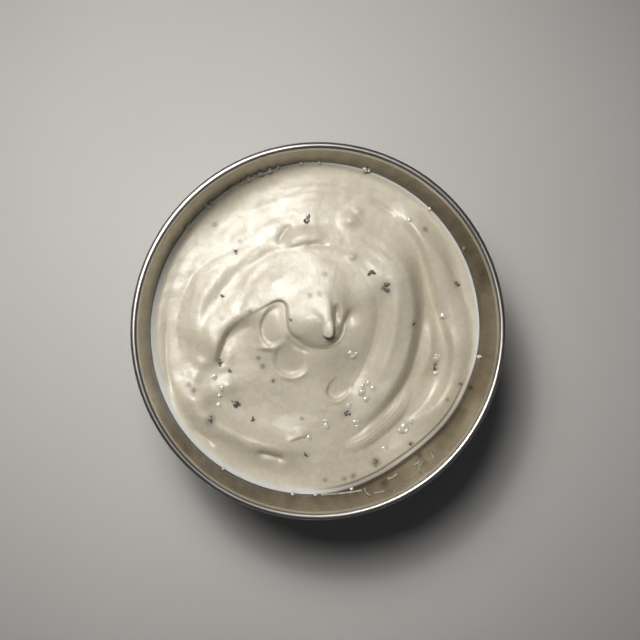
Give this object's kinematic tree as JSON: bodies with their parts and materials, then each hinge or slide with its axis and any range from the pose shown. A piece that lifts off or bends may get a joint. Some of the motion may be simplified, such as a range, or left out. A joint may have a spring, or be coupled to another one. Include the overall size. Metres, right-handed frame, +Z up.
{
  "type": "caesar dressing in a steel sauce cup",
  "caption": "Small round tapered steel sauce cup with a rolled rim, filled with thick creamy dressing with pepper flecks, spoon swirls and a soft curled peak.",
  "frame": {"origin": "centre of the cup's flat base, on the surface it stands on", "axes": "+Z up through the mouth of the cup, -Y towards the front of the pictured view (its lower edge), +X to its right"},
  "size_m": [0.07, 0.07, 0.038],
  "materials": {
    "cup_steel": "polished stainless sheet, slightly satin from use, with a bright rolled rim",
    "cream_dressing": null
  },
  "bodies": {
    "root": {"sauce_cup": "cup_steel", "dressing": "cream_dressing"}
  },
  "joints": []
}
